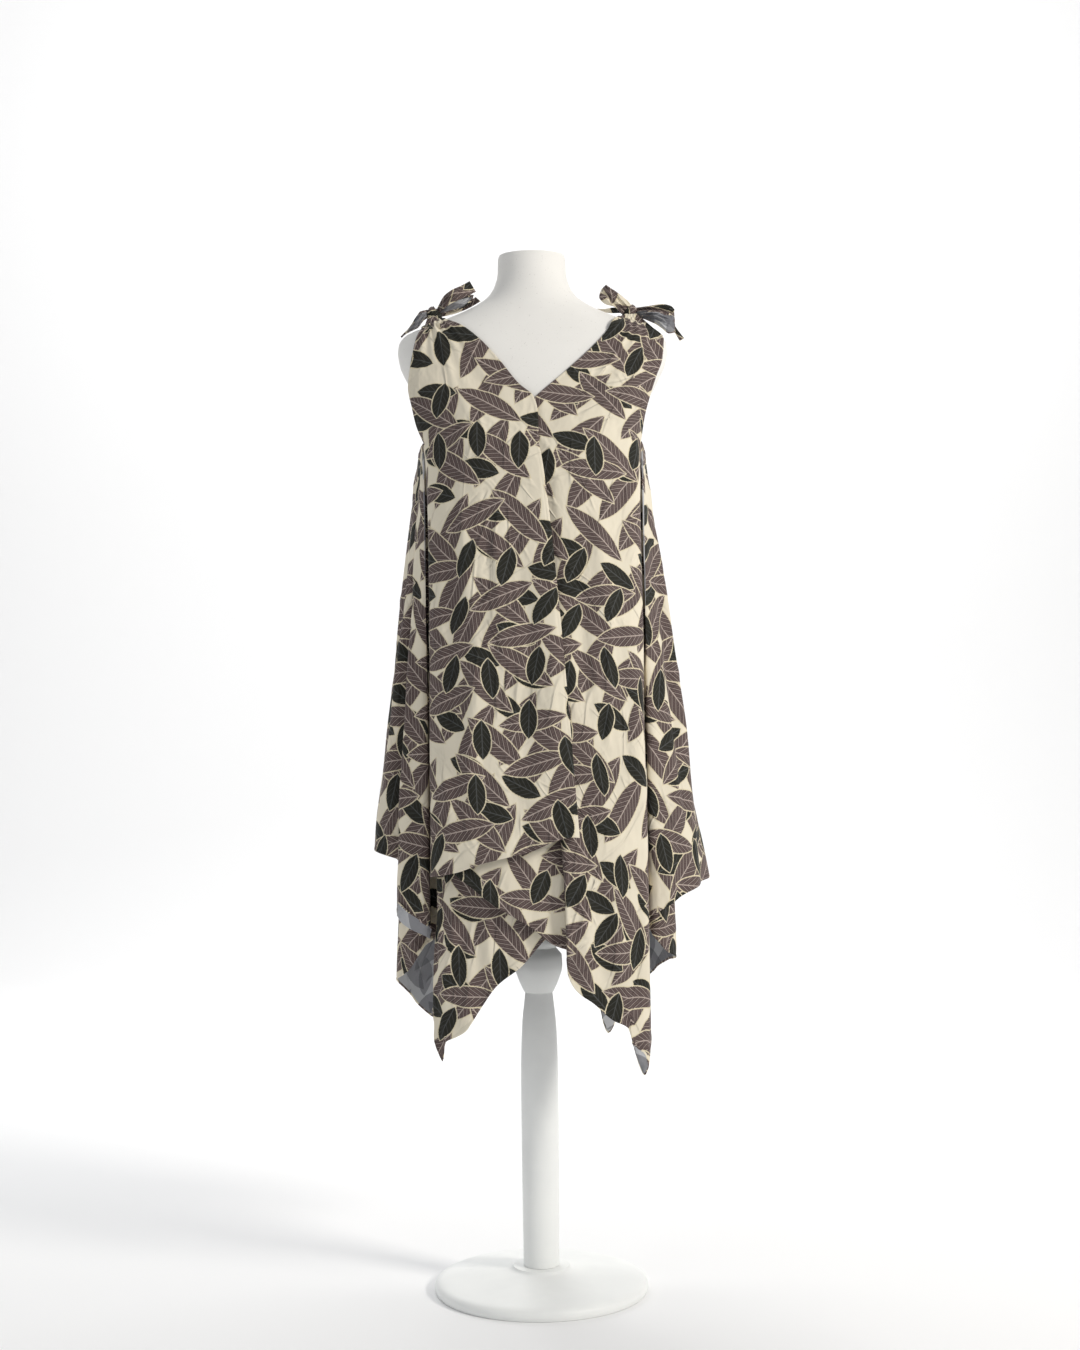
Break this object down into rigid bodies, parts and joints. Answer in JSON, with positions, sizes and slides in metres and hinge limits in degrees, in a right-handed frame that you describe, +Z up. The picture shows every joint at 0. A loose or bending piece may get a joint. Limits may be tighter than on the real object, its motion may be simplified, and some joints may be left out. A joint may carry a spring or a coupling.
{
  "type": "handkerchief dress on a dress form",
  "caption": "Sleeveless V-neck handkerchief-hem dress in printed crepe, tied in a bow on each shoulder, worn by a limbless white dress form on a turned post with a round foot.",
  "frame": {"origin": "middle of the round foot's underside, on the floor", "axes": "+Z up along the post, -Y towards the front of the dress, +X towards the viewer's right as the front is seen"},
  "size_m": [0.5026, 0.3571, 1.548],
  "materials": {
    "printed_crepe": "matt printed crepe, grey-lilac reverse",
    "white_jersey": "white stretched jersey",
    "white_paint": "turned wood, satin white paint"
  },
  "bodies": {
    "root": {"form_torso": "white_jersey", "stand_collar": "white_paint", "stand_post": "white_paint", "stand_foot": "white_paint", "front_left": "printed_crepe", "front_right": "printed_crepe", "back_left": "printed_crepe", "back_right": "printed_crepe", "side_upper_left": "printed_crepe", "side_upper_right": "printed_crepe", "front_lower_left": "printed_crepe", "side_lower_left": "printed_crepe", "side_lower_right": "printed_crepe", "bow_left_knot": "printed_crepe", "bow_right_knot": "printed_crepe", "bow_left_tail_upper": "printed_crepe", "bow_left_tail_lower": "printed_crepe", "bow_left_tail_rear": "printed_crepe", "bow_left_loop": "printed_crepe", "bow_right_loop_upper": "printed_crepe", "bow_right_loop_outer": "printed_crepe", "bow_right_loop_top": "printed_crepe", "bow_right_tail": "printed_crepe", "bow_right_tail_inner": "printed_crepe"}
  },
  "joints": []
}
